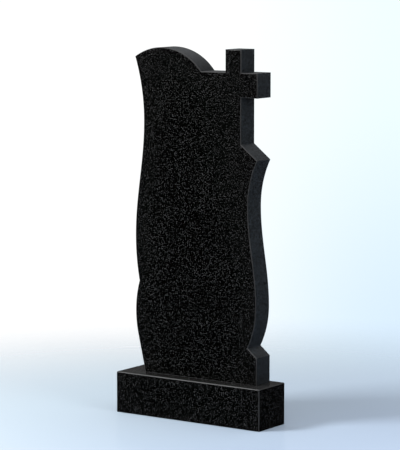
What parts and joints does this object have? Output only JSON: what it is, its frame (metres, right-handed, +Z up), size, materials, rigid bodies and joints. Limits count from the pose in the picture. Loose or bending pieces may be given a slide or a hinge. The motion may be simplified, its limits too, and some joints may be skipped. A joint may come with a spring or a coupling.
{
  "type": "headstone",
  "caption": "Upright memorial slab with an arched top, wavy sides and a cross cut out of its upper right corner, standing on a rectangular plinth.",
  "frame": {"origin": "centre of the plinth's underside, on the ground", "axes": "+Z up, the stele's front face looks along -Y, +X to the right as seen from the front, the side that the cross is on"},
  "size_m": [0.708, 0.19, 1.5173],
  "materials": {
    "stele_granite": "polished black granite with fine grey grain, edge faces fine-honed",
    "plinth_granite": "polished black granite with fine grey grain, bright chamfered edges"
  },
  "bodies": {
    "root": {"stele": "stele_granite", "plinth": "plinth_granite"}
  },
  "joints": []
}
